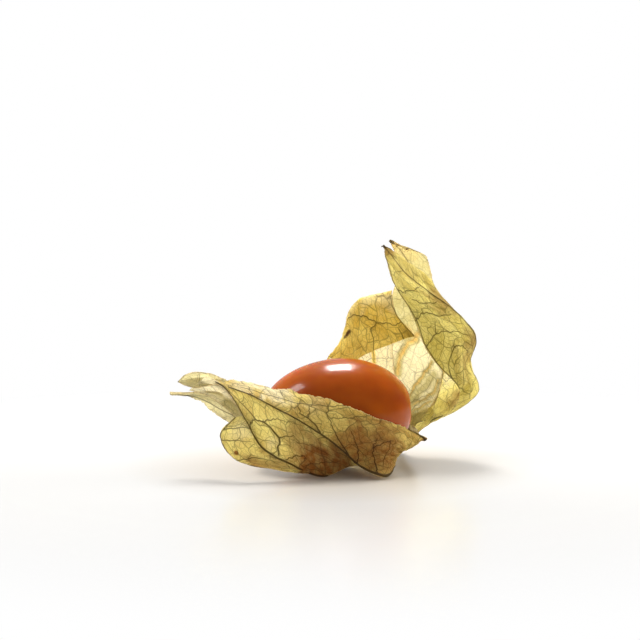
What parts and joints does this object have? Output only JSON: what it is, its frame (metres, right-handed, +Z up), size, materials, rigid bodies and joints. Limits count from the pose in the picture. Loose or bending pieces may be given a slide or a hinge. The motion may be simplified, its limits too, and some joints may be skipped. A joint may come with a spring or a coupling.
{
  "type": "physalis berry",
  "caption": "Ripe glossy physalis berry on its short stalk, with the dry veined husk torn open into five papery sepals around it.",
  "frame": {"origin": "bottom centre of the whole fruit's box, on the surface that it rests on", "axes": "+Z up; -Y is the front, where the two peeled sepals lie; +X points to the berry's stalk end and the standing back sepals"},
  "size_m": [0.0406, 0.026, 0.0299],
  "materials": {
    "berry_skin": "gloss",
    "husk": "matte",
    "stalk_wood": "matte"
  },
  "bodies": {
    "root": {"berry": "berry_skin", "stalk": "stalk_wood", "front_upper_sepal": "husk", "front_lower_sepal": "husk", "back_left_sepal": "husk", "back_middle_sepal": "husk", "back_right_sepal": "husk"}
  },
  "joints": []
}
